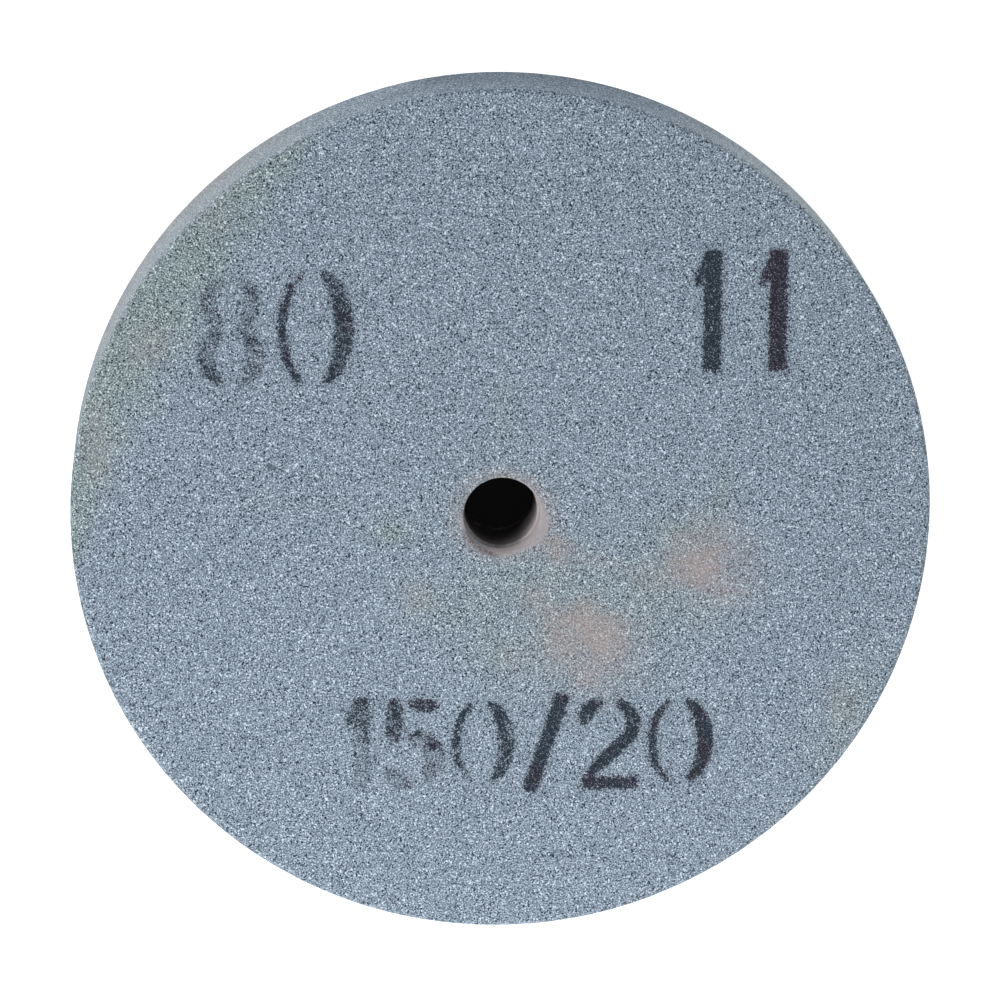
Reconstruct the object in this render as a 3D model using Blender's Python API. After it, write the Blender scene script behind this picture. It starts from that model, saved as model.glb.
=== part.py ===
"""Straight grinding wheel with a bush set below its faces.

The wheel is one moulded disc of bonded grain with a plain hole through its
middle. A thin pale bush lines that hole and brings it to the arbor's size.

Metres, +Z up. The wheel lies on its back face, as it does on a bench: its
axis is Z, and the origin is the centre of the bore at the back face.
"""
import math

import bmesh
import bpy

# The disc of bonded grain
WHEEL_DIAMETER = 0.150
WHEEL_THICKNESS = 0.020
RIM_EDGE_RADIUS = 0.0009
HOLE_EDGE_RADIUS = 0.0004

# The bush, which stops short of both faces so that the flanges clamp only grain
ARBOR_BORE = 0.0127
BUSH_WALL = 0.0005
BUSH_RECESS = 0.0045
BUSH_LEAD_IN = 0.00015

# Clearance all round between the bush and the moulded hole
BUSH_SEAM = 0.00025

# Facets round the axis, and along each rounded edge of a section
TURN_FACETS = 120
EDGE_FACETS = 5

# Colour (linear), roughness and metallic value of each finish
GRAIN_FINISH = ((0.262, 0.323, 0.386, 1.0), 0.92, 0.0)
BUSH_FINISH = ((0.445, 0.392, 0.381, 1.0), 0.62, 0.0)


def clear_scene():
    """Take away whatever the opened scene holds."""
    for thing in list(bpy.data.objects):
        bpy.data.objects.remove(thing, do_unlink=True)


def finish(name, colour, roughness, metallic):
    """A Principled material of one piece."""
    material = bpy.data.materials.new(name)
    material.use_nodes = True
    shader = material.node_tree.nodes["Principled BSDF"]
    shader.inputs["Base Color"].default_value = colour
    shader.inputs["Roughness"].default_value = roughness
    shader.inputs["Metallic"].default_value = metallic
    return material


def eased_corner(radius, height, ease, facets, from_degrees):
    """Points of a quarter circle that eases one corner of a section.

    The corner stands at (radius, height). The arc turns clockwise through
    90 degrees from the given direction, seen with +X right and +Z up.
    """
    middle = math.radians(from_degrees - 45.0)
    centre_r = radius - math.copysign(ease, math.cos(middle))
    centre_z = height - math.copysign(ease, math.sin(middle))
    points = []
    for step in range(facets + 1):
        angle = math.radians(from_degrees - 90.0 * step / facets)
        points.append((centre_r + ease * math.cos(angle), centre_z + ease * math.sin(angle)))
    return points


def ring_section(inner_radius, outer_radius, bottom, top, inner_ease, outer_ease, facets):
    """Section of a ring: out along its top, down its outer side, and back under it."""
    return (
        eased_corner(outer_radius, top, outer_ease, facets, 90.0)
        + eased_corner(outer_radius, bottom, outer_ease, facets, 0.0)
        + eased_corner(inner_radius, bottom, inner_ease, facets, -90.0)
        + eased_corner(inner_radius, top, inner_ease, facets, -180.0)
    )


def turned(name, section, material):
    """Spin a closed section once round Z into a named piece."""
    shape = bmesh.new()
    corners = [shape.verts.new((radius, 0.0, height)) for radius, height in section]
    edges = [shape.edges.new((corners[i - 1], corners[i])) for i in range(len(corners))]
    bmesh.ops.spin(
        shape,
        geom=corners + edges,
        cent=(0.0, 0.0, 0.0),
        axis=(0.0, 0.0, 1.0),
        angle=math.tau,
        steps=TURN_FACETS,
        use_merge=True,
    )
    bmesh.ops.recalc_face_normals(shape, faces=shape.faces)
    mesh = bpy.data.meshes.new(name)
    shape.to_mesh(mesh)
    shape.free()
    mesh.shade_smooth()
    mesh.set_sharp_from_angle(angle=math.radians(30.0))
    mesh.materials.append(material)
    piece = bpy.data.objects.new(name, mesh)
    bpy.context.scene.collection.objects.link(piece)
    return piece


def abrasive_disc(material):
    """The moulded disc, with eased edges at its rim and at its hole."""
    hole_radius = ARBOR_BORE / 2 + BUSH_WALL + BUSH_SEAM
    section = ring_section(
        hole_radius, WHEEL_DIAMETER / 2,
        0.0, WHEEL_THICKNESS,
        HOLE_EDGE_RADIUS, RIM_EDGE_RADIUS,
        EDGE_FACETS,
    )
    return turned("abrasive_disc", section, material)


def bore_bush(material):
    """The thin bush, a little below the face at both ends, with a lead-in."""
    bore_radius = ARBOR_BORE / 2
    section = ring_section(
        bore_radius, bore_radius + BUSH_WALL,
        BUSH_RECESS, WHEEL_THICKNESS - BUSH_RECESS,
        BUSH_LEAD_IN, BUSH_LEAD_IN,
        1,
    )
    return turned("bore_bush", section, material)


def main():
    clear_scene()
    abrasive_disc(finish("bonded grain", *GRAIN_FINISH))
    bore_bush(finish("pale bush", *BUSH_FINISH))


main()
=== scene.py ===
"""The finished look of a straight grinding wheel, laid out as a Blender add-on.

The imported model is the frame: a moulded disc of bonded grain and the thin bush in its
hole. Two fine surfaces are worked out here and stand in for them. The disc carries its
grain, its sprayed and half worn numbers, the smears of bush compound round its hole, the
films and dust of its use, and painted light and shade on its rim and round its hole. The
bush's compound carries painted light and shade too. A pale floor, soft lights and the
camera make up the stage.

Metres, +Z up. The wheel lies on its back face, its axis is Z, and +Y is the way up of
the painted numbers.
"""
import math

import bpy
import numpy as np
from bpy.props import FloatProperty, FloatVectorProperty, IntProperty, PointerProperty
from mathutils import Matrix, Vector


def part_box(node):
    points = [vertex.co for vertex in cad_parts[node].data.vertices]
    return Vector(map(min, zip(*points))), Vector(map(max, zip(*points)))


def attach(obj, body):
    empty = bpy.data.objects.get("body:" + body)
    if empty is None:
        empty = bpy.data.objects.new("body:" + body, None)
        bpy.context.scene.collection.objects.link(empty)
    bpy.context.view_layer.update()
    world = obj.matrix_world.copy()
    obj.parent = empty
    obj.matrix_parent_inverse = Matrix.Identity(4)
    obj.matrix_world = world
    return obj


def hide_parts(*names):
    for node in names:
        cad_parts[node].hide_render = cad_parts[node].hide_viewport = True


bl_info = {
    "name": "Grinding wheel",
    "version": (1, 0, 0),
    "blender": (4, 5, 0),
    "location": "3D View > Sidebar > Wheel",
    "description": "Makes the surfaces, finishes and stage of a straight grinding wheel",
    "category": "Object",
}

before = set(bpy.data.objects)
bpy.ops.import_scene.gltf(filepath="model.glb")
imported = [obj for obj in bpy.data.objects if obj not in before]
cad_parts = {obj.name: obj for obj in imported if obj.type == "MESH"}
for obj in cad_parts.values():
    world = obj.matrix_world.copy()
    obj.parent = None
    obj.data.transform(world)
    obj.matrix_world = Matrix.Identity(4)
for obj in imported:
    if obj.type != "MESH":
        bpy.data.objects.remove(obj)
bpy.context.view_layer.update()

DISC_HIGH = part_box("abrasive_disc")[1]
BUSH_LOW, BUSH_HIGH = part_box("bore_bush")
RIM_RADIUS = DISC_HIGH.x
FACE_HEIGHT = DISC_HIGH.z
MM = 0.001

# Names of the numbers stored at each point of the disc, read by its finish
PAINT_REACH = "paint_reach"
PAINT_LOAD = "paint_load"
PAINT_RED = "paint_red"
SMEAR = "smear"
COMPOUND = "compound"
TINGE = "tinge"
# Dust that also paints light on the rim's left and right
RIM_DUST_AND_LIGHT = "dust"
# Painted shade on top of the rim
RIM_TOP_SHADE = "grime"
# Darker along the back edge, and painted shade round the hole's edge
EDGE_DARKENING = "edge_dirt"


def measure(name, text, default, **limits):
    """A length property, in metres."""
    return FloatProperty(name=name, description=text, default=default, unit="LENGTH",
                         subtype="DISTANCE", precision=5, **limits)


def paint(name, text, default):
    """A linear colour property."""
    return FloatVectorProperty(name=name, description=text, default=default, size=3,
                               min=0.0, max=1.0, subtype="COLOR")


class DiscSettings(bpy.types.PropertyGroup):
    """The disc of bonded grain."""

    hole_radius: measure("Hole radius", "Radius of the hole, with the compound on its wall", 0.00675)
    rim_ease: measure("Rim ease", "Radius of the eased edge of the rim", 0.0009)
    hole_ease: measure("Hole ease", "Radius of the eased edge of the hole", 0.0004)
    grain_size: measure("Grain size", "Width of one grain on the faces", 0.00025)
    grain_relief: measure("Grain relief", "Depth of the unevenness of the faces", 0.00003)
    edge_wear: measure("Edge wear", "Depth of the crumbled places on the edges", 0.00022)
    turns: IntProperty(name="Facets round", description="Facets round the axis", default=480,
                       min=48, max=960)
    grain_dark: paint("Dark grain", "Colour of the darkest grains and pores", (0.012, 0.022, 0.036))
    grain_middle: paint("Middle grain", "Colour of most grains", (0.152, 0.196, 0.244))
    grain_light: paint("Light grain", "Colour of the brightest grains", (0.500, 0.575, 0.657))
    smear_colour: paint("Smear", "Colour of the pinkish smears", (0.296, 0.230, 0.212))
    compound_colour: paint("Compound", "Colour of the compound round the hole",
                           (0.274, 0.256, 0.262))
    wall_colour: paint("Wall", "Colour of the compound on the wall of the hole",
                       (0.405, 0.362, 0.368))
    tinge_colour: paint("Tinge", "Tint of the yellowish film on the front", (0.985, 1.000, 0.865))
    # Dust colours, lighter than the grain: dust, and painted light on the rim's left and right
    dust_and_light_colour: paint("Dust", "Colour of the dust on the rim near the front face",
                       (0.330, 0.335, 0.365))
    low_dust_and_light_colour: paint("Low dust", "Colour of the dust low on the rim", (0.350, 0.262, 0.212))
    # Painted shade on top of the rim
    painted_shade_colour: paint("Shading", "Tint of the grime on top of the rim", (0.60, 0.63, 0.655))
    coarse_colour: paint("Coarse grain", "Colour of the few coarse grains", (0.075, 0.100, 0.128))
    # Darkens the back edge, and paints shade round the hole's lower left edge
    edge_colour: paint("Edge dirt", "Tint of the dirt on the edges", (0.42, 0.36, 0.34))


class PaintSettings(bpy.types.PropertyGroup):
    """The sprayed numbers on the front face."""

    ink: paint("Ink", "Colour of the sprayed ink", (0.007, 0.014, 0.022))
    ink_red: paint("Reddish ink", "Colour of the ink where its red shows", (0.011, 0.008, 0.017))
    stroke: measure("Stroke", "Width of a stroke of the large numbers", 0.0030)
    small_stroke: measure("Small stroke", "Width of a stroke of the lower numbers", 0.0026)
    ragged: measure("Ragged edge", "How far the grain breaks up a stroke's edge", 0.00058)


class BushSettings(bpy.types.PropertyGroup):
    """The thin pale bush."""

    bore_radius: measure("Bore radius", "Radius of the bore", 0.00635)
    lip: measure("Lip", "Height of the compound that creeps up the hole's wall", 0.0004)
    ease: measure("Lead-in", "Radius of the eased edge of the bore", 0.00018)
    pale: paint("Pale", "Colour of the clean compound", (0.400, 0.355, 0.360))
    # The dusty colour is dust and also painted shade; the grimy colour is painted shade deep in the
    # bore
    dusty_and_shaded: paint("Dusty", "Colour of the dirty compound", (0.130, 0.122, 0.122))
    painted_deep_shade: paint("Shaded", "Colour of the bore's wall well below the faces", (0.045, 0.042, 0.042))


class StageSettings(bpy.types.PropertyGroup):
    """The floor, the lights and the camera."""

    floor_width: measure("Floor width", "Side of the square floor", 6.0)
    floor_colour: paint("Floor", "Colour of the floor", (0.350, 0.355, 0.357))
    floor_shade: paint("Floor shade", "Colour of the floor under the wheel",
                       (0.0027, 0.0027, 0.0027))
    glow: FloatProperty(name="Glow", description="Light that the floor gives by itself",
                        default=0.87)
    room_light: FloatProperty(name="Room light", description="Strength of the pale room's light",
                              default=0.51)
    tilt: FloatProperty(name="Tilt", description="Angle between the view and the wheel's axis",
                        default=math.radians(14.0), subtype="ANGLE")
    lean: FloatProperty(name="Lean", description="Direction of that tilt, from +X towards +Y",
                        default=math.radians(102.8), subtype="ANGLE")
    distance: measure("Distance", "From the camera to the middle of the front face", 0.9215)
    lens: FloatProperty(name="Lens", description="Focal length in millimetres", default=190.56)
    aside: measure("Aside", "How far the wheel's middle lies right of the view's", 0.00037)
    below: measure("Below", "How far the wheel's middle lies under the view's", 0.00276)


# Numbers drawn from one seed, so that every run gives the same wheel
LATTICE_SEED = 20
LATTICE_SIZE = 8192
LATTICE_PRIMES = (73856093, 19349663, 83492791)


def lattice_noise(points, cell, layer):
    """Smooth random heights from 0 to 1, one for each point.

    Each corner of a cubic lattice holds a random number, picked by multiplying its three
    whole coordinates by large primes. A point takes the numbers of its cell's eight
    corners, blended along each axis by 3t^2 - 2t^3.
    """
    table = np.random.default_rng(LATTICE_SEED + layer).random(LATTICE_SIZE)
    scaled = np.asarray(points, float) / cell
    corner = np.floor(scaled).astype(np.int64)
    part = scaled - corner
    blend = part * part * (3.0 - 2.0 * part)
    total = np.zeros(scaled.shape[:-1])
    for dx in (0, 1):
        for dy in (0, 1):
            for dz in (0, 1):
                step = np.array((dx, dy, dz))
                key = (corner + step) * np.array(LATTICE_PRIMES)
                pick = (key[..., 0] ^ key[..., 1] ^ key[..., 2]) % LATTICE_SIZE
                weight = np.prod(np.where(step == 1, blend, 1.0 - blend), axis=-1)
                total += weight * table[pick]
    return total


def rise(low, high, values):
    """A smooth step from 0 at low to 1 at high: 3t^2 - 2t^3."""
    part = np.clip((values - low) / (high - low), 0.0, 1.0)
    return part * part * (3.0 - 2.0 * part)


def straight(start, end, rows):
    """Rows of a straight stretch of a section, without its end: radius, height and the
    outward normal, which lies a quarter turn to the left of the way along."""
    along = np.arange(rows)[:, None] / rows
    spots = np.array(start) + (np.array(end) - np.array(start)) * along
    way = np.array(end) - np.array(start)
    way = way / np.hypot(*way)
    return np.hstack([spots, np.tile((-way[1], way[0]), (rows, 1))])


def rounded(middle, radius, start_degrees, rows):
    """Rows of a quarter circle that turns clockwise, without its end."""
    turn = np.radians(start_degrees - 90.0 * np.arange(rows) / rows)
    out = np.stack([np.cos(turn), np.sin(turn)], axis=1)
    return np.hstack([np.array(middle) + radius * out, out])


def turned_points(section, turns, depth=None):
    """Carry a section once round Z: angle k * 360 / turns for each of the turns.

    A point at radius r, height z goes to (r cos a, r sin a, z), moved back along its
    outward normal by its depth.
    """
    angle = (math.tau * np.arange(turns) / turns)[:, None]
    radius, height, normal_r, normal_z = section.T
    if depth is not None:
        radius = radius - depth * normal_r
        height = height - depth * normal_z
    return np.stack(
        [radius * np.cos(angle), radius * np.sin(angle), height * np.ones_like(angle)], axis=-1
    )


def ring_mesh(name, points):
    """A closed surface from a grid that joins up both round the axis and round its section."""
    turns, rows = points.shape[:2]
    index = np.arange(turns * rows).reshape(turns, rows)
    onward = np.roll(index, -1, axis=1)
    corners = [index, onward, np.roll(onward, -1, axis=0), np.roll(index, -1, axis=0)]
    mesh = bpy.data.meshes.new(name)
    mesh.from_pydata(points.reshape(-1, 3), [], np.stack(corners, axis=-1).reshape(-1, 4))
    mesh.shade_smooth()
    return mesh


def store(mesh, name, values):
    """Keep one number at each point of a mesh."""
    mesh.attributes.new(name, "FLOAT", "POINT").data.foreach_set("value", values.ravel())


def piece_of(name, mesh, material, node):
    """Put a finished surface in the scene in place of the node that it stands for."""
    mesh.materials.append(material)
    piece = bpy.data.objects.new(name, mesh)
    bpy.context.scene.collection.objects.link(piece)
    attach(piece, "root")
    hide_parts(node)
    return piece


# The sprayed numbers. A figure is a list of strokes. Each has its points in millimetres on the
# front face, its breadth as a share of the line's stroke, and how much it narrows to its ends.


def bend(middle, half_width, half_height, start, end, count=9):
    """Points along an ellipse, between two angles in degrees from +X towards +Y."""
    angle = np.radians(np.linspace(start, end, count))
    return np.stack([middle[0] + half_width * np.cos(angle),
                     middle[1] + half_height * np.sin(angle)], axis=1)


def nought(middle, width, height):
    """A stencilled 0: a thin and a broad curved stroke, open at the top and the foot."""
    half_width, half_height = width / 2, height / 2
    return [(bend(middle, half_width, half_height, 114, 244), 0.56, 0.3),
            (bend(middle, half_width, half_height, 68, -62), 1.08, 0.5)]


def eight(middle, width, height):
    """A stencilled 8: two curved strokes above two wider ones."""
    x, y = middle
    upper = (x, y + height * 0.26)
    lower = (x, y - height * 0.24)
    return [(bend(upper, width * 0.43, height * 0.24, 116, 244), 0.9, 0.5),
            (bend(upper, width * 0.43, height * 0.24, 64, -64), 0.9, 0.5),
            (bend(lower, width * 0.50, height * 0.26, 116, 244), 1.0, 0.5),
            (bend(lower, width * 0.50, height * 0.26, 64, -64), 1.0, 0.5)]


def one(middle, width, height):
    """A stencilled 1: an upright with a short flag at its top."""
    x, y = middle
    top = y + height / 2
    flag = [(x - width * 0.72, top - height * 0.24), (x - width * 0.2, top - height * 0.02)]
    return [(np.array([(x, top), (x, y - height / 2)]), 1.04, 0.0), (np.array(flag), 0.62, 0.4)]


def two(middle, width, height):
    """A stencilled 2: hook, slope and foot."""
    x, y = middle
    crown = (x, y + height * 0.22)
    foot = y - height / 2
    slope = bend(crown, width / 2, height * 0.28, 62, -30, 6)
    return [(bend(crown, width / 2, height * 0.28, 172, 116, 5), 1.0, 0.4),
            (np.vstack([slope, [(x - width * 0.36, foot + height * 0.12)]]), 1.0, 0.4),
            (np.array([(x - width * 0.42, foot), (x + width * 0.48, foot)]), 0.9, 0.0)]


def five(middle, width, height):
    """A stencilled 5: upright, head, bowl and tail."""
    x, y = middle
    left, top = x - width * 0.40, y + height / 2
    bowl = (x - width * 0.08, y - height * 0.20)
    return [(np.array([(left, top), (left - width * 0.03, y + height * 0.08)]), 1.15, 0.2),
            (np.array([(x - width * 0.02, top), (x + width * 0.40, top - height * 0.02)]), 0.9, 0.3),
            (bend(bowl, width * 0.52, height * 0.30, 88, -52), 1.35, 0.62),
            (bend(bowl, width * 0.52, height * 0.30, 212, 262, 5), 1.1, 0.5)]


def slash(middle, width, height):
    """A slanting stroke."""
    x, y = middle
    half_width, half_height = width / 2, height / 2
    ends = [(x + half_width, y + half_height), (x - half_width, y - half_height)]
    return [(np.array(ends), 1.0, 0.0)]


# Figure, middle and size in millimetres, ink left at the top and at the foot, how reddish its
# ink is, and whether it stands in the lower line, which gives the wheel's width and thickness
NUMBERS = (
    (eight, (-47.0, 33.0), (8.6, 18.8), 0.31, 0.42, 0.30, False),
    (nought, (-32.8, 33.4), (10.8, 20.4), 0.60, 0.78, 0.40, False),
    (one, (36.2, 36.1), (3.8, 19.2), 0.92, 0.84, 0.22, False),
    (one, (47.6, 36.3), (3.8, 19.2), 1.00, 0.98, 0.95, False),
    (one, (-24.4, -41.0), (3.2, 14.4), 0.66, 0.24, 0.35, True),
    (five, (-15.2, -41.2), (8.4, 14.4), 0.70, 0.22, 0.50, True),
    (nought, (-3.4, -41.2), (9.0, 15.0), 0.80, 0.44, 0.35, True),
    (slash, (8.0, -41.2), (5.2, 15.8), 0.92, 0.84, 0.45, True),
    (two, (19.0, -41.1), (8.8, 15.0), 0.88, 0.88, 0.40, True),
    (nought, (31.4, -41.1), (9.4, 15.4), 1.00, 1.00, 0.52, True),
)


def reach_of_stroke(spots, stroke, half_width, taper):
    """Distance from each spot to the edge of a stroke, negative inside it.

    The foot of the perpendicular on a run from a to b is a + t (b - a), where t is
    (p - a).(b - a) / |b - a|^2, held between 0 and 1. The half width shrinks towards both
    ends of the stroke by taper * |2s - 1|^3, where s goes from 0 to 1 along it. A stroke
    without taper is a bar with square ends.
    """
    nearest = np.full(len(spots), np.inf)
    lengths = np.hypot(*np.diff(stroke, axis=0).T)
    passed = np.concatenate([[0.0], np.cumsum(lengths)]) / lengths.sum()
    for index, (start, end) in enumerate(zip(stroke[:-1], stroke[1:])):
        run = end - start
        position = ((spots - start) @ run) / (run @ run)
        along = np.clip(position, 0.0, 1.0)
        spot = passed[index] + along * (passed[index + 1] - passed[index])
        half = half_width * (1.0 - taper * np.abs(2.0 * spot - 1.0) ** 3)
        away = np.hypot(*(spots - start - along[:, None] * run).T) - half
        if taper == 0.0:
            beside = np.hypot(*(spots - start - position[:, None] * run).T) - half_width
            beyond = (np.abs(position - 0.5) - 0.5) * lengths[index] - half_width * 0.8
            away = np.maximum(beside, beyond)
        nearest = np.minimum(nearest, away)
    return nearest


def painted(points, settings):
    """How far each point lies outside the sprayed strokes, in metres and negative inside
    them, the share of ink that is left on the nearest one, and how reddish that ink is."""
    spots = points[..., :2].reshape(-1, 2) / MM
    reach = np.full(len(spots), 99.0)
    load = np.zeros(len(spots))
    red = np.zeros(len(spots))
    for figure, middle, (width, height), top_load, foot_load, redness, lower in NUMBERS:
        half = (settings.small_stroke if lower else settings.stroke) / MM / 2
        up = np.clip((spots[:, 1] - middle[1]) / height + 0.5, 0.0, 1.0)
        for stroke, breadth, taper in figure(middle, width, height):
            away = reach_of_stroke(spots, stroke, half * breadth, taper)
            nearer = away < reach
            reach = np.where(nearer, away, reach)
            load = np.where(nearer, foot_load + (top_load - foot_load) * up, load)
            red = np.where(nearer, redness, red)
    shape = points.shape[:2]
    return reach.reshape(shape) * MM, load.reshape(shape), red.reshape(shape)


# Films on the front face: middle, half width, half height (mm), turn (degrees) and strength.
# Pinkish smears, by the share of the grain that they cover
SMEARS = (
    ((35.6, -8.9), 6.4, 6.2, 0.0, 0.48),
    ((35.1, -10.2), 2.6, 3.2, 0.0, 0.16),
    ((16.8, -23.4), 6.2, 6.0, 0.0, 0.50),
    ((17.0, -23.8), 3.4, 3.4, 0.0, 0.20),
    ((12.4, -17.6), 5.0, 2.6, 0.0, 0.26),
    ((7.9, -20.6), 4.6, 7.0, 0.0, 0.15),
    ((5.9, -14.2), 2.2, 2.6, 0.0, 0.16),
    ((15.0, -8.2), 8.2, 2.0, -11.0, 0.14),
    ((9.2, -5.3), 2.6, 1.9, -25.0, 0.34),
    ((25.5, -12.5), 5.0, 3.0, 0.0, 0.08),
    ((1.9, -26.3), 3.0, 3.0, 0.0, 0.09),
    ((-14.6, -14.6), 2.9, 2.9, 0.0, 0.15),
    ((60.6, -35.0), 2.8, 4.5, 30.0, 0.12),
    ((-61.0, 31.0), 4.2, 4.2, 0.0, 0.14),
    ((-70.3, 12.5), 2.6, 8.0, 8.0, 0.18),
    ((-49.6, 52.5), 3.6, 2.8, 45.0, 0.08),
)

# Yellowish film, by its strength
TINGES = (
    ((13.6, -17.6), 15.5, 12.0, -10.0, 0.66),
    ((2.4, -11.0), 5.0, 3.0, 0.0, 0.35),
    ((-2.3, -19.4), 2.2, 4.0, 0.0, 0.50),
    ((-8.8, -17.2), 4.0, 4.4, 0.0, 0.42),
    ((0.2, -24.2), 3.6, 3.0, 0.0, 0.30),
    ((31.0, -9.4), 8.6, 8.4, 0.0, 0.40),
    ((31.6, -3.6), 7.0, 4.6, 0.0, 0.42),
    ((4.5, -10.8), 9.0, 3.6, 0.0, 0.22),
    ((1.8, -26.5), 6.5, 4.5, 0.0, 0.30),
    ((25.0, -13.8), 3.4, 3.4, 0.0, 0.35),
    ((33.5, -17.4), 4.6, 3.0, 0.0, 0.30),
    ((37.9, 4.8), 2.0, 4.2, -15.0, 0.55),
    ((-0.3, 19.7), 1.6, 4.6, 0.0, 0.50),
    ((-14.3, -14.3), 3.6, 3.8, 0.0, 0.45),
    ((-19.2, -2.8), 4.2, 2.3, 0.0, 0.80),
    ((-35.0, 2.4), 5.0, 1.0, 0.0, 0.35),
    ((60.9, -37.0), 4.4, 9.6, -27.0, 0.62),
    ((0.0, 0.0), 8.6, 8.6, 0.0, 0.28),
)

# The same film along the rim, at directions from +X towards +Y: its width on the face (mm),
# with its strength there, and its strength on the rim itself
FILM_WIDTH = ((115.0, 0.0), (120.0, 4.5), (125.0, 8.0), (131.0, 10.5), (140.0, 11.0), (145.0, 13.0),
              (153.0, 14.5), (161.0, 11.5), (169.0, 9.3), (177.0, 7.2), (183.0, 4.0), (188.0, 0.0))
FILM_STRENGTH = 0.95
FILM_ON_RIM = ((18.0, 0.0), (38.0, 0.85), (52.0, 0.45), (68.0, 0.10), (98.0, 0.0), (116.0, 0.32),
               (148.0, 0.42), (166.0, 1.0), (184.0, 0.70), (204.0, 0.0))

# Compound that was wiped onto the face round the hole: the direction in which it is widest,
# with its width there and elsewhere, and the middle of the arc that it covers
WIPED_TOWARDS, WIPED_WIDE, WIPED_NARROW = -13.0, 2.0 * MM, 0.5 * MM
WIPED_MIDDLE = -70.0

# Directions of the thickest compound on the hole's wall, of the painted shade on the hole's
# edge and of the bush's side with painted light
THICK_SIDE = -38.0
SHADED_SIDE = -128.0
LIT_SIDE = -14.0

# Coarse dark grains: middle (mm) and radius (mm)
COARSE_GRAINS = (((-40.2, 8.8), 0.85), ((13.8, -70.7), 0.6), ((30.8, -65.7), 0.5))

# Stretches of the rim, in degrees: dust with painted light on the left and on the right,
# painted shade at the top, and darkening along the back edge. Start, end, softness and strength
LEFT_DUST_AND_LIGHT = (119.0, 161.0, 9.0, 0.26)
RIGHT_DUST_AND_LIGHT = (28.0, 62.0, 7.0, 0.14)
TOP_PAINTED_SHADE = (65.0, 102.0, 9.0, 1.0)
BACK_EDGE_DARKENING = (8.0, 112.0, 10.0, 1.0)


def blots(points, films, wander):
    """Strength of a list of films at each point.

    Each film fades from its middle as exp(-d^2), where d is the elliptical distance, which
    noise pushes in and out by wander. A film adds to what the others leave bare.
    """
    spots = points[..., :2] / MM
    bare = np.ones(points.shape[:2])
    for middle, half_width, half_height, turn, strength in films:
        angle = math.radians(turn)
        across, up = spots[..., 0] - middle[0], spots[..., 1] - middle[1]
        along = (across * math.cos(angle) + up * math.sin(angle)) / half_width
        over = (up * math.cos(angle) - across * math.sin(angle)) / half_height
        spread = np.maximum(np.hypot(along, over) + wander, 0.0)
        bare = bare * (1.0 - strength * np.exp(-spread ** 2))
    return 1.0 - bare


def wandering(points):
    """Noise round zero that makes a film's edge wander: blobs of 5 mm and of 1.6 mm."""
    return lattice_noise(points, 5.0 * MM, 1) - 0.5 + 0.5 * (lattice_noise(points, 1.6 * MM, 2) - 0.5)


def polar(points):
    """Distance of each point from the axis, and its direction in degrees from 0 to 360."""
    x, y = points[..., 0], points[..., 1]
    return np.hypot(x, y), np.degrees(np.arctan2(y, x)) % 360.0


def smeared(points, hole_radius):
    """Share of the grain that the pinkish smears cover at each point of the front face.

    A fringe round the hole joins them. It fades outwards as exp(-(d / w)^2), where w swings
    between 1.5 and 2.8 mm with the square of the cosine of the direction.
    """
    wander = wandering(points)
    radius, direction = polar(points)
    width = (1.5 + 1.3 * np.cos(np.radians(direction + 10.0)) ** 2) * MM
    fringe = 0.28 * np.exp(-((radius - hole_radius) / width) ** 2) * (1.0 + 1.2 * wander)
    return np.maximum(blots(points, SMEARS, 0.8 * wander), fringe)


def wiped(points, hole_radius):
    """Cover of the compound on the face round the hole: a collar, widest on one side, which
    is missing along the top of the hole."""
    wander = wandering(points)
    radius, direction = polar(points)
    side = np.maximum(np.cos(np.radians(direction - WIPED_TOWARDS)), 0.0) ** 8
    width = WIPED_NARROW + (WIPED_WIDE - WIPED_NARROW) * side
    collar = 1.0 - rise(0.6, 1.2, (radius - hole_radius) / width + 0.9 * wander)
    there = rise(-0.55, -0.15, np.cos(np.radians(direction - WIPED_MIDDLE)))
    return 0.85 * collar * there


def tinged(points, on_rim):
    """Strength of the yellowish film at each point: its blots on the face, the film along
    the rim's edge, and the film on the rim itself, where on_rim is 1."""
    wander = wandering(points)
    radius, direction = polar(points)
    width = np.interp(direction, *np.array(FILM_WIDTH).T) * MM
    inward = (RIM_RADIUS - radius) / np.maximum(width, 0.01 * MM) + 0.6 * wander
    edge = FILM_STRENGTH * (1.0 - rise(0.4, 1.3, inward)) * rise(0.0, 1.0 * MM, width)
    face = np.maximum(blots(points, TINGES, 0.5 * wander), edge)
    rim = np.interp(direction + 6.0 * wander, *np.array(FILM_ON_RIM).T)
    rim = rim * (0.3 + 0.7 * rise(1.0 * MM, 13.0 * MM, points[..., 2]))
    return face + (rim - face) * on_rim


def stretch(points, extent, layer):
    """Strength along one stretch of the rim: a smooth step in and out of it, with ends that
    noise moves by a few degrees."""
    start, end, soft, strength = extent
    angle = np.degrees(np.arctan2(points[..., 1], points[..., 0]))
    angle = angle + 14.0 * (lattice_noise(points, 6.0 * MM, layer) - 0.5)
    within = rise(start - soft, start + soft, angle) * (1.0 - rise(end - soft, end + soft, angle))
    return strength * within


class Wire:
    """A node's output in a finish. On numbers, Python's operators add a Math node each."""

    def __init__(self, finish, socket):
        self.finish = finish
        self.socket = socket

    def __add__(self, other):
        return self.finish.maths("ADD", self, other)

    def __radd__(self, other):
        return self.finish.maths("ADD", other, self)

    def __sub__(self, other):
        return self.finish.maths("SUBTRACT", self, other)

    def __rsub__(self, other):
        return self.finish.maths("SUBTRACT", other, self)

    def __mul__(self, other):
        return self.finish.maths("MULTIPLY", self, other)

    def __rmul__(self, other):
        return self.finish.maths("MULTIPLY", other, self)

    def __gt__(self, other):
        return self.finish.maths("GREATER_THAN", self, other)


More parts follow.
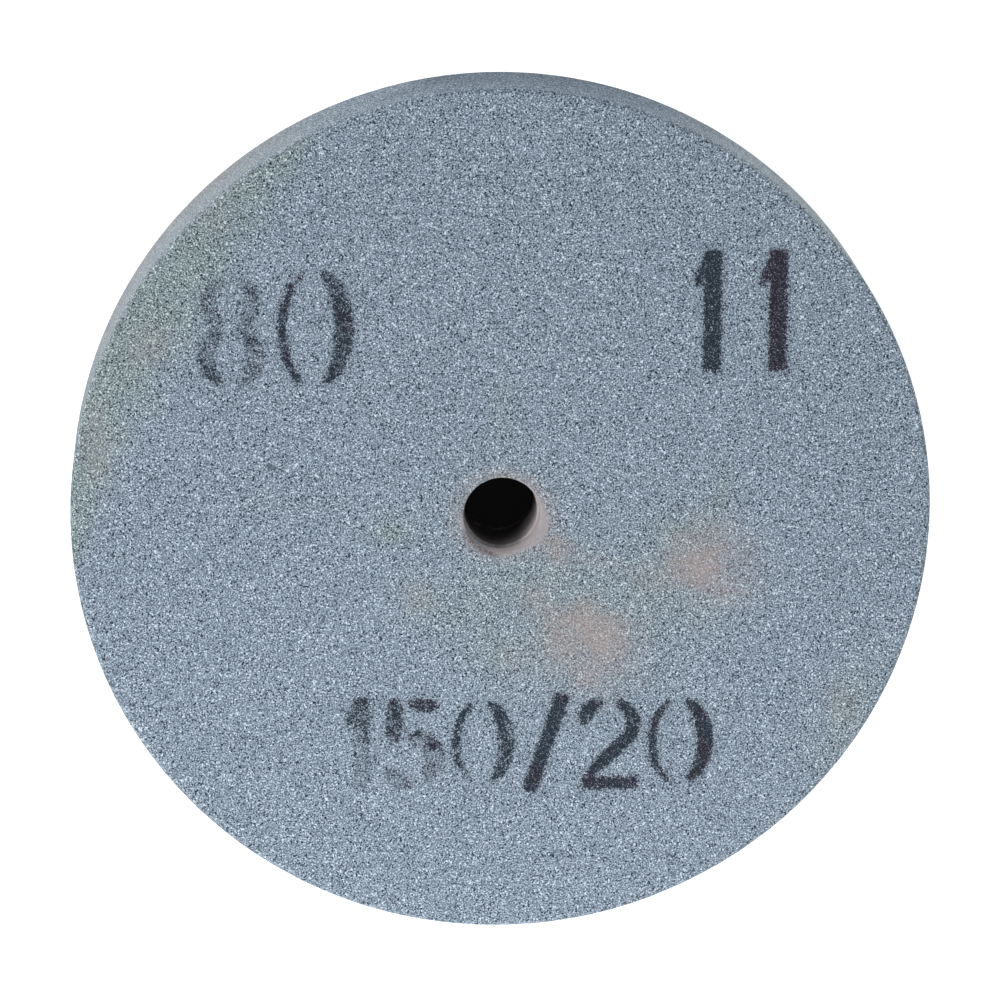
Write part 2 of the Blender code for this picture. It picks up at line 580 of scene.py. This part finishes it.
class Finish:
    """A material while its nodes are being laid out."""

    def __init__(self, name, roughness, shine):
        self.material = bpy.data.materials.new(name)
        self.material.use_nodes = True
        self.tree = self.material.node_tree
        self.shader = self.tree.nodes["Principled BSDF"]
        self.shader.inputs["Roughness"].default_value = roughness
        self.shader.inputs["Specular IOR Level"].default_value = shine
        place = self.node("ShaderNodeTexCoord", output="Object")
        self.place = self.node("ShaderNodeVectorMath", {"operation": "SCALE"},
                               {0: place, "Scale": 1.0 / MM})

    def node(self, kind, settings=None, sockets=None, output=0):
        """Add a node: its settings first, then the values or wires of its sockets."""
        made = self.tree.nodes.new(kind)
        for name, value in (settings or {}).items():
            if name == "stops":
                self.set_stops(made.color_ramp, value)
            else:
                setattr(made, name, value)
        for name, value in (sockets or {}).items():
            if isinstance(value, Wire):
                self.tree.links.new(value.socket, made.inputs[name])
            else:
                made.inputs[name].default_value = value
        return Wire(self, made.outputs[output])

    @staticmethod
    def set_stops(ramp, stops):
        """Give a colour ramp its stops: place and linear colour."""
        while len(ramp.elements) < len(stops):
            ramp.elements.new(1.0)
        for element, (spot, colour) in zip(ramp.elements, stops):
            element.position = spot
            element.color = (*colour, 1.0)

    def maths(self, operation, first, second):
        """One Math node, for two numbers or wires."""
        return self.node("ShaderNodeMath", {"operation": operation}, {0: first, 1: second})

    def step(self, value, low, high):
        """A smooth step from 0 at low to 1 at high."""
        return self.node("ShaderNodeMapRange", {"interpolation_type": "SMOOTHSTEP"},
                         {"Value": value, "From Min": low, "From Max": high})

    def colours(self, share_of_second, first, second, blend="MIX"):
        """Mix two colours, each a wire or a linear colour."""
        settings = {"data_type": "RGBA", "blend_type": blend, "clamp_factor": True}
        first, second = (c if isinstance(c, Wire) else (*c, 1.0) for c in (first, second))
        return self.node("ShaderNodeMix", settings, {0: share_of_second, 6: first, 7: second}, 2)

    def noise(self, size, detail=2.0, roughness=0.5):
        """Noise whose blobs are about size millimetres wide."""
        return self.node("ShaderNodeTexNoise", {}, {
            "Vector": self.place, "Scale": 1.0 / size, "Detail": detail, "Roughness": roughness,
        })

    def cells(self, size, output):
        """Random cells about size millimetres wide: their Color or their Distance."""
        return self.node("ShaderNodeTexVoronoi", {}, {
            "Vector": self.place, "Scale": 1.0 / size,
        }, output)

    def away_from(self, spot):
        """Distance in millimetres from a spot."""
        return self.node("ShaderNodeVectorMath", {"operation": "DISTANCE"},
                         {0: self.place, 1: spot}, "Value")

    def part(self, colour, which):
        """One of a colour's three numbers: 0, 1 or 2."""
        return self.node("ShaderNodeSeparateColor", {}, {0: colour}, which)

    def stored(self, name):
        """A number kept at the points of the mesh."""
        return self.node("ShaderNodeAttribute", {"attribute_name": name}, {}, "Fac")

    def give(self, **sockets):
        """Wire the Principled shader."""
        for name, wire in sockets.items():
            self.tree.links.new(wire.socket, self.shader.inputs[name.replace("_", " ")])
        return self.material


def bonded_grain(disc, spray):
    """Open grain in a glassy bond, with its paint, smears, films, dust, darkening and painted light
    and shade.
    """
    finish = Finish("bonded grain", 0.9, 0.18)
    size = disc.grain_size / MM

    # Three random numbers for each grain, and one for each chip of it
    grains = finish.cells(size, "Color")
    grain_tone, spare, hue = (finish.part(grains, which) for which in range(3))
    chips = finish.part(finish.cells(size * 0.52, "Color"), 0)
    clumps = finish.noise(size, 0.0, 0.5)
    # Lighter middles and darker gaps between the domed grains: painted shade
    dome_shade = 0.5 - finish.cells(size * 1.3, "Distance")
    tone = (chips - 0.5) * 0.36 + (clumps - 0.5) * 0.9 + dome_shade * 0.60
    # The pits are pores, darkened: painted shade in them
    shaded_pores = finish.step(spare, 0.10, 0.04)
    sparks = finish.step(spare, 0.94, 0.99)
    tone = tone - shaded_pores * 0.75 + sparks * 0.80
    colour = finish.node("ShaderNodeValToRGB", {"stops": (
        (0.02, tuple(disc.grain_dark)),
        (0.50, tuple(disc.grain_middle)),
        (0.98, tuple(disc.grain_light)),
    )}, {0: tone + 0.5}, "Color")
    colour = finish.colours(hue * 0.2, colour, (0.97, 1.0, 0.95), "MULTIPLY")
    colour = finish.colours((1.0 - hue) * 0.2, colour, (1.0, 0.97, 1.0), "MULTIPLY")

    # Dust with painted light on the rim, and painted shade on its top
    fine = finish.noise(0.5, 3.0, 0.7)
    height = finish.node("ShaderNodeSeparateXYZ", {}, {0: finish.place}, "Z")
    # Dust with painted light on the rim's left and right
    dust = finish.stored(RIM_DUST_AND_LIGHT) * (0.6 + fine * 0.8)
    low = finish.step(height, 15.0, 1.0)
    dust_and_light_tone = finish.colours(low, tuple(disc.dust_and_light_colour), tuple(disc.low_dust_and_light_colour))
    colour = finish.colours(dust, colour, dust_and_light_tone)
    # Painted shade: the top of the rim darkened
    colour = finish.colours(finish.stored(RIM_TOP_SHADE), colour, tuple(disc.painted_shade_colour), "MULTIPLY")

    # A few coarse dark grains
    for (x, y), radius in COARSE_GRAINS:
        away = finish.away_from((x, y, FACE_HEIGHT / MM)) + (clumps - 0.5) * radius
        coarse = finish.step(away, radius, radius * 0.6)
        colour = finish.colours(coarse * 0.75, colour, tuple(disc.coarse_colour))

    # A yellowish film tints the grain. Smears and compound cover part of it, grain by grain
    blotches = finish.noise(1.5, 2.0, 0.6)
    film = finish.stored(TINGE) * (0.55 + blotches * 0.9)
    colour = finish.colours(film, colour, tuple(disc.tinge_colour), "MULTIPLY")
    uneven = (fine - 0.5) * 0.9 + (chips - 0.5) * 0.5
    smear = finish.stored(SMEAR) * (1.5 - blotches + uneven)
    colour = finish.colours(smear, colour, tuple(disc.smear_colour))
    compound = finish.stored(COMPOUND)
    compound = compound + finish.step(compound, 0.0, 0.3) * uneven * 0.6
    compound_tone = finish.colours(finish.step(height, FACE_HEIGHT / MM, FACE_HEIGHT / MM - 0.6),
                                   tuple(disc.compound_colour), tuple(disc.wall_colour))
    colour = finish.colours(compound, colour, compound_tone)
    # Darker along the back edge, and painted shade round the hole's edge at the lower left
    darkening = finish.stored(EDGE_DARKENING) * finish.step(fine, 0.32, 0.56)
    colour = finish.colours(darkening, colour, tuple(disc.edge_colour), "MULTIPLY")

    # Ink reaches into the grain, so a stroke's edge breaks up grain by grain
    ragged = spray.ragged / MM
    reach = finish.stored(PAINT_REACH) * (1.0 / MM)
    edge = reach + (spare - 0.5) * (1.2 * ragged) + (chips - 0.5) * (0.6 * ragged)
    edge = edge + (finish.noise(1.1, 2.0) - 0.5) * (1.3 * ragged)
    load = finish.stored(PAINT_LOAD)
    patch = finish.noise(2.4, 3.0, 0.6)
    held = load + (patch - 0.5) * 1.5 + (grain_tone - 0.5) * -0.45 + (chips - 0.5) * -0.35
    inside = finish.step(edge, 0.10, -0.14) * finish.step(held, 0.36, 0.54)
    mist = finish.step(reach + (patch - 0.5) * 1.2, 1.5, 0.1) * (spare > 0.84) * load

    # Where a stroke has worn off, a faint grey ghost of it is left
    ghost = finish.step(reach + (fine - 0.5) * 0.6, 0.35, -0.35) * finish.step(load, 0.0, 0.3)
    ghost = ghost * (0.08 + patch * 0.42)
    ink = finish.maths("MAXIMUM", inside, mist * 0.8)
    ink = finish.maths("MAXIMUM", ink * (1.0 - finish.step(chips, 0.80, 0.98) * 0.46), ghost)
    blend = finish.stored(PAINT_RED) + (finish.noise(5.0, 2.0) - 0.5) * 1.4 + (chips - 0.5) * 0.2
    ink_tone = finish.colours(finish.step(blend, 0.35, 0.65), tuple(spray.ink), tuple(spray.ink_red))
    colour = finish.colours(ink * 0.97, colour, ink_tone)

    # Domed grains with gaps between them, filled in where compound covers them
    bare = 1.0 - finish.maths("MAXIMUM", smear, compound)
    gaps = finish.cells(size, "Distance")
    relief = (1.0 - gaps) * (0.4 + bare * 0.6) + chips * 0.25
    bumped = finish.node("ShaderNodeBump", {}, {
        "Strength": 0.55, "Distance": disc.grain_size * 0.35, "Height": relief,
    }, "Normal")
    glint = finish.step(grain_tone, 0.90, 0.97) * bare
    return finish.give(Base_Color=colour, Roughness=0.92 - glint * 0.45, Normal=bumped)


def bush_compound(bush):
    """Smooth pale compound with dust patches, painted light on its right, painted shade elsewhere and
    down the bore.
    """
    finish = Finish("bush compound", 0.6, 0.25)
    pale, dusty_and_shaded, painted_deep_shade = tuple(bush.pale), tuple(bush.dusty_and_shaded), tuple(bush.painted_deep_shade)
    patches = finish.noise(1.8, 3.0, 0.6)
    specks = finish.cells(0.35, "Distance")
    # Painted light on the right, where the key light falls into the hole, and painted shade away from
    # it
    side = math.radians(LIT_SIDE)
    across = finish.node("ShaderNodeVectorMath", {"operation": "DOT_PRODUCT"},
                         {0: finish.place, 1: (math.cos(side), math.sin(side), 0.0)}, "Value")
    lit = finish.step(across, 4.2, 6.3)
    dust = finish.step(patches, 0.38, 0.72) * 0.3 + finish.step(specks, 0.16, 0.05) * 0.3
    # The ledge: dust patches, and painted shade away from the lit side
    end = finish.colours(dust + (1.0 - lit) * 0.65, pale, dusty_and_shaded)

    # Down the bore the compound darkens, then turns black, from either end: painted shade
    low, high = BUSH_LOW.z / MM, BUSH_HIGH.z / MM
    depth = finish.node("ShaderNodeSeparateXYZ", {}, {0: finish.place}, "Z")
    at_end = finish.maths("MAXIMUM", finish.step(depth, high - 1.1, high + 0.2),
                          finish.step(depth, low + 1.1, low - 0.2))
    near = finish.maths("MAXIMUM", finish.step(depth, low + 1.5, high - 0.3),
                        finish.step(depth, high - 1.5, low + 0.3))
    inner = finish.colours(near, finish.colours(lit * 0.75, painted_deep_shade, dusty_and_shaded),
                           finish.colours(lit * 0.65, dusty_and_shaded, pale))
    colour = finish.colours(at_end, inner, end)
    bumped = finish.node("ShaderNodeBump", {}, {
        "Strength": 0.3, "Distance": 0.05 * MM, "Height": patches + specks * 0.5,
    }, "Normal")
    return finish.give(Base_Color=colour, Roughness=0.5 + dust * 0.35, Normal=bumped)


def floor_paint(stage):
    """Pale paint that glows evenly, as the top of a light table does, so shadows stay faint.

    Under the wheel, up to 50 mm from its axis, the floor is dark, so that no light comes up
    through the bore. By 62 mm, still under the wheel, it is pale.
    """
    finish = Finish("floor paint", 0.8, 0.3)
    shade = tuple(stage.floor_shade)
    clear = finish.step(finish.away_from((0.0, 0.0, 0.0)), 50.0, 62.0)
    finish.shader.inputs["Emission Strength"].default_value = stage.glow
    return finish.give(Base_Color=finish.colours(clear, shade, tuple(stage.floor_colour)),
                       Emission_Color=finish.colours(clear, shade, (0.985, 0.998, 1.0)))


class WHEEL_OT_disc(bpy.types.Operator):
    """Make the disc of bonded grain with its painted numbers"""

    bl_idname = "grinding_wheel.disc"
    bl_label = "Abrasive disc"

    def execute(self, context):
        disc = context.scene.wheel_disc
        section = disc_section(disc)
        flat = turned_points(section, disc.turns)
        points = turned_points(section, disc.turns, disc_wear(disc, section, flat))
        mesh = ring_mesh("abrasive_disc_surface", points)
        on_front = rise(FACE_HEIGHT - 0.6 * MM, FACE_HEIGHT - 0.2 * MM, flat[..., 2])
        reach, load, red = painted(flat, context.scene.wheel_paint)
        store(mesh, PAINT_REACH, np.where(on_front > 0.5, reach, 9.0 * MM))
        store(mesh, PAINT_LOAD, load * on_front)
        store(mesh, PAINT_RED, red)
        store(mesh, SMEAR, smeared(flat, disc.hole_radius) * on_front)
        collar = wiped(flat, disc.hole_radius) * on_front
        store(mesh, COMPOUND, np.maximum(collar, smeared_hole(disc, flat)))

        # The rim is where the normal points outwards, far from the hole
        rim = rise(0.2, 0.9, section[:, 2]) * rise(0.05, 0.07, section[:, 0])
        off_back = rise(0.0, 2.0 * MM, flat[..., 2])
        store(mesh, TINGE, tinged(flat, rim) * off_back)
        # Dust with painted light on the rim's left and right
        dust = np.maximum(stretch(flat, LEFT_DUST_AND_LIGHT, 11), stretch(flat, RIGHT_DUST_AND_LIGHT, 12))
        store(mesh, RIM_DUST_AND_LIGHT, rim * dust)
        # Painted shade on top of the rim, strongest near the back face
        fading = 1.0 - 0.45 * rise(2.0 * MM, 18.0 * MM, flat[..., 2])
        store(mesh, RIM_TOP_SHADE, rim * stretch(flat, TOP_PAINTED_SHADE, 10) * fading)
        # Darker along the back edge; the hole's lower left edge takes painted shade
        back_edge = rise(0.1, 0.5, section[:, 2]) * (1.0 - rise(0.5 * MM, 1.1 * MM, flat[..., 2]))
        back_edge = back_edge * stretch(flat, BACK_EDGE_DARKENING, 13)
        store(mesh, EDGE_DARKENING, np.maximum(back_edge, shaded_hole_edge(disc, flat)))

        finish = bonded_grain(disc, context.scene.wheel_paint)
        piece_of("abrasive_disc_surface", mesh, finish, "abrasive_disc")
        return {"FINISHED"}


def disc_section(disc):
    """The disc's section: out along the front, down the rim, back under, and up the hole."""
    hole, rim, low, high = disc.hole_radius, RIM_RADIUS, 0.0, FACE_HEIGHT
    ease, inner = disc.rim_ease, disc.hole_ease
    near = hole + 5.0 * MM
    return np.vstack([
        straight((hole + inner, high), (near, high), 18),
        straight((near, high), (rim - ease, high), 94),
        rounded((rim - ease, high - ease), ease, 90, 8),
        straight((rim, high - ease), (rim, low + ease), 20),
        rounded((rim - ease, low + ease), ease, 0, 6),
        straight((rim - ease, low), (hole + inner, low), 30),
        rounded((hole + inner, low + inner), inner, -90, 4),
        straight((hole, low + inner), (hole, high - inner), 16),
        rounded((hole + inner, high - inner), inner, 180, 6),
    ])


def disc_wear(disc, section, flat):
    """Depth of the surface below its nominal form at each point.

    Grain relief is noise at two scales. The eased edges also lose crumbs: where broad
    noise is high, fine noise cuts in, in proportion to how far the normal leans.
    """
    grit = 0.6 * lattice_noise(flat, 0.9 * MM, 4) + 0.4 * lattice_noise(flat, 0.45 * MM, 5)
    lean = 2.0 * np.abs(section[:, 2] * section[:, 3])
    crumbs = rise(0.55, 0.85, lattice_noise(flat, 2.4 * MM, 6)) * 0.8
    crumbs = crumbs + 0.5 * rise(0.6, 0.95, lattice_noise(flat, 1.1 * MM, 7))
    return disc.grain_relief * grit + disc.edge_wear * lean * crumbs


def smeared_hole(disc, flat):
    """Compound on the wall of the hole above the bush: thick at the lower right and thin
    opposite."""
    radius, direction = polar(flat)
    inside = 1.0 - rise(disc.hole_radius + 0.1 * MM, disc.hole_radius + 0.5 * MM, radius)
    side = np.cos(np.radians(direction - THICK_SIDE))
    return inside * (0.15 + 0.75 * rise(-0.15, 0.5, side))


def shaded_hole_edge(disc, flat):
    """Painted shade round the hole's edge at the lower left."""
    radius, direction = polar(flat)
    away = np.hypot(radius - disc.hole_radius, FACE_HEIGHT - flat[..., 2])
    near = 1.0 - rise(0.2 * MM, 1.5 * MM, away + 0.5 * MM * wandering(flat))
    return near * rise(0.78, 0.95, np.cos(np.radians(direction - SHADED_SIDE)))


class WHEEL_OT_bush(bpy.types.Operator):
    """Make the thin pale bush that lines the hole"""

    bl_idname = "grinding_wheel.bush"
    bl_label = "Bore bush"

    def execute(self, context):
        bush = context.scene.wheel_bush
        section = bush_section(bush, context.scene.wheel_disc.hole_radius)
        flat = turned_points(section, 192)
        depth = 0.05 * MM * lattice_noise(flat, 1.2 * MM, 8)
        depth = depth + 0.02 * MM * lattice_noise(flat, 0.4 * MM, 9)
        mesh = ring_mesh("bore_bush_surface", turned_points(section, 192, depth))
        piece_of("bore_bush_surface", mesh, bush_compound(bush), "bore_bush")
        return {"FINISHED"}


def bush_section(bush, hole_radius):
    """The bush's section: each end is a flat ledge with a lip where the compound crept up
    the hole's wall, and its bore has eased edges."""
    bore, wall = bush.bore_radius, hole_radius + 0.02 * MM
    low, high, lip, ease = BUSH_LOW.z, BUSH_HIGH.z, bush.lip, bush.ease
    return np.vstack([
        rounded((bore + ease, high - ease), ease, 180, 5),
        straight((bore + ease, high), (wall - lip, high), 5),
        straight((wall - lip, high), (wall, high + lip), 4),
        straight((wall, high + lip), (wall, low - lip), 24),
        straight((wall, low - lip), (wall - lip, low), 4),
        straight((wall - lip, low), (bore + ease, low), 5),
        rounded((bore + ease, low + ease), ease, -90, 5),
        straight((bore, low + ease), (bore, high - ease), 24),
    ])


# The floor lies a hair below the wheel, so that the two faces don't mix
FLOOR_LEVEL = -0.05 * MM

# Soft lights: azimuth and elevation in degrees, distance, width and height in metres, power
# in watts. The azimuth turns from +X towards +Y
LIGHTS = (
    ("key light", 160.0, 37.0, 1.3, (1.3, 0.6), 17.9),
    ("side light", 22.0, 21.0, 1.5, (1.4, 0.5), 13.2),
    ("foot light", 264.0, 33.0, 0.4, (0.4, 0.3), 1.82),
)


def light(name, azimuth, elevation, distance, size, power):
    """A soft rectangular light that faces the wheel."""
    lamp = bpy.data.lights.new(name, "AREA")
    lamp.shape = "RECTANGLE"
    lamp.size, lamp.size_y = size
    lamp.energy = power
    holder = bpy.data.objects.new(name, lamp)
    a, e = math.radians(azimuth), math.radians(elevation)
    way = Vector((math.cos(a) * math.cos(e), math.sin(a) * math.cos(e), math.sin(e)))
    holder.location = way * distance
    holder.rotation_euler = way.to_track_quat("Z", "Y").to_euler()
    bpy.context.scene.collection.objects.link(holder)


def pale_room(strength):
    """A world that is pale all round and darkens overhead."""
    world = bpy.data.worlds.new("pale room")
    world.use_nodes = True
    nodes, links = world.node_tree.nodes, world.node_tree.links
    way = nodes.new("ShaderNodeTexCoord")
    split = nodes.new("ShaderNodeSeparateXYZ")
    ramp = nodes.new("ShaderNodeValToRGB")
    Finish.set_stops(ramp.color_ramp, ((0.55, (0.93, 0.95, 1.0)), (0.80, (0.0, 0.0, 0.0))))
    links.new(way.outputs["Generated"], split.inputs[0])
    links.new(split.outputs["Z"], ramp.inputs[0])
    links.new(ramp.outputs["Color"], nodes["Background"].inputs["Color"])
    nodes["Background"].inputs["Strength"].default_value = strength
    return world


def view_axes(tilt, lean):
    """Right, up and back of the camera, which swings by its tilt towards one side of the
    wheel's axis without rolling about it."""
    toward = Vector((math.cos(lean), math.sin(lean), 0.0))
    beside = Vector((-math.sin(lean), math.cos(lean), 0.0))
    swung = math.cos(tilt) * toward - math.sin(tilt) * Vector((0.0, 0.0, 1.0))
    right = math.cos(lean) * swung - math.sin(lean) * beside
    up = math.sin(lean) * swung + math.cos(lean) * beside
    return right, up, right.cross(up)


class WHEEL_OT_stage(bpy.types.Operator):
    """Make the floor, the lights, the pale room round them and the camera"""

    bl_idname = "grinding_wheel.stage"
    bl_label = "Stage"

    def execute(self, context):
        stage = context.scene.wheel_stage
        signs = np.array([(-1.0, -1.0), (1.0, -1.0), (1.0, 1.0), (-1.0, 1.0)])
        corners = np.hstack([signs * stage.floor_width / 2, np.full((4, 1), FLOOR_LEVEL)])
        mesh = bpy.data.meshes.new("floor")
        mesh.from_pydata(corners, [], [(0, 1, 2, 3)])
        mesh.materials.append(floor_paint(stage))
        floor = bpy.data.objects.new("floor", mesh)
        context.scene.collection.objects.link(floor)

        for row in LIGHTS:
            light(*row)
        context.scene.world = pale_room(stage.room_light)
        context.scene.view_settings.view_transform = "Standard"

        right, up, back = view_axes(stage.tilt, stage.lean)
        lens = bpy.data.cameras.new("camera")
        lens.lens = stage.lens
        camera = bpy.data.objects.new("camera", lens)
        spot = Vector((0.0, 0.0, FACE_HEIGHT)) + back * stage.distance
        spot += up * stage.below - right * stage.aside
        axes = Matrix((right, up, back)).transposed()
        camera.matrix_world = Matrix.Translation(spot) @ axes.to_4x4()
        context.scene.collection.objects.link(camera)
        context.scene.camera = camera
        return {"FINISHED"}


class WHEEL_PT_sidebar(bpy.types.Panel):
    """The steps that make the wheel, with what a user may change"""

    bl_idname = "WHEEL_PT_sidebar"
    bl_label = "Grinding wheel"
    bl_space_type = "VIEW_3D"
    bl_region_type = "UI"
    bl_category = "Wheel"

    def draw(self, context):
        for step, settings in STEPS:
            box = self.layout.box()
            box.operator(step.bl_idname)
            for holder in settings:
                group = getattr(context.scene, holder)
                for name in group.__annotations__:
                    box.prop(group, name)


STEPS = (
    (WHEEL_OT_disc, ("wheel_disc", "wheel_paint")),
    (WHEEL_OT_bush, ("wheel_bush",)),
    (WHEEL_OT_stage, ("wheel_stage",)),
)
GROUPS = {
    "wheel_disc": DiscSettings,
    "wheel_paint": PaintSettings,
    "wheel_bush": BushSettings,
    "wheel_stage": StageSettings,
}


def register():
    for group in GROUPS.values():
        bpy.utils.register_class(group)
    for step, _ in STEPS:
        bpy.utils.register_class(step)
    bpy.utils.register_class(WHEEL_PT_sidebar)
    for name, group in GROUPS.items():
        setattr(bpy.types.Scene, name, PointerProperty(type=group))


def unregister():
    for name in GROUPS:
        delattr(bpy.types.Scene, name)
    bpy.utils.unregister_class(WHEEL_PT_sidebar)
    for step, _ in reversed(STEPS):
        bpy.utils.unregister_class(step)
    for group in GROUPS.values():
        bpy.utils.unregister_class(group)


def main():
    register()
    bpy.ops.grinding_wheel.disc()
    bpy.ops.grinding_wheel.bush()
    bpy.ops.grinding_wheel.stage()


if __name__ == "__main__":
    main()
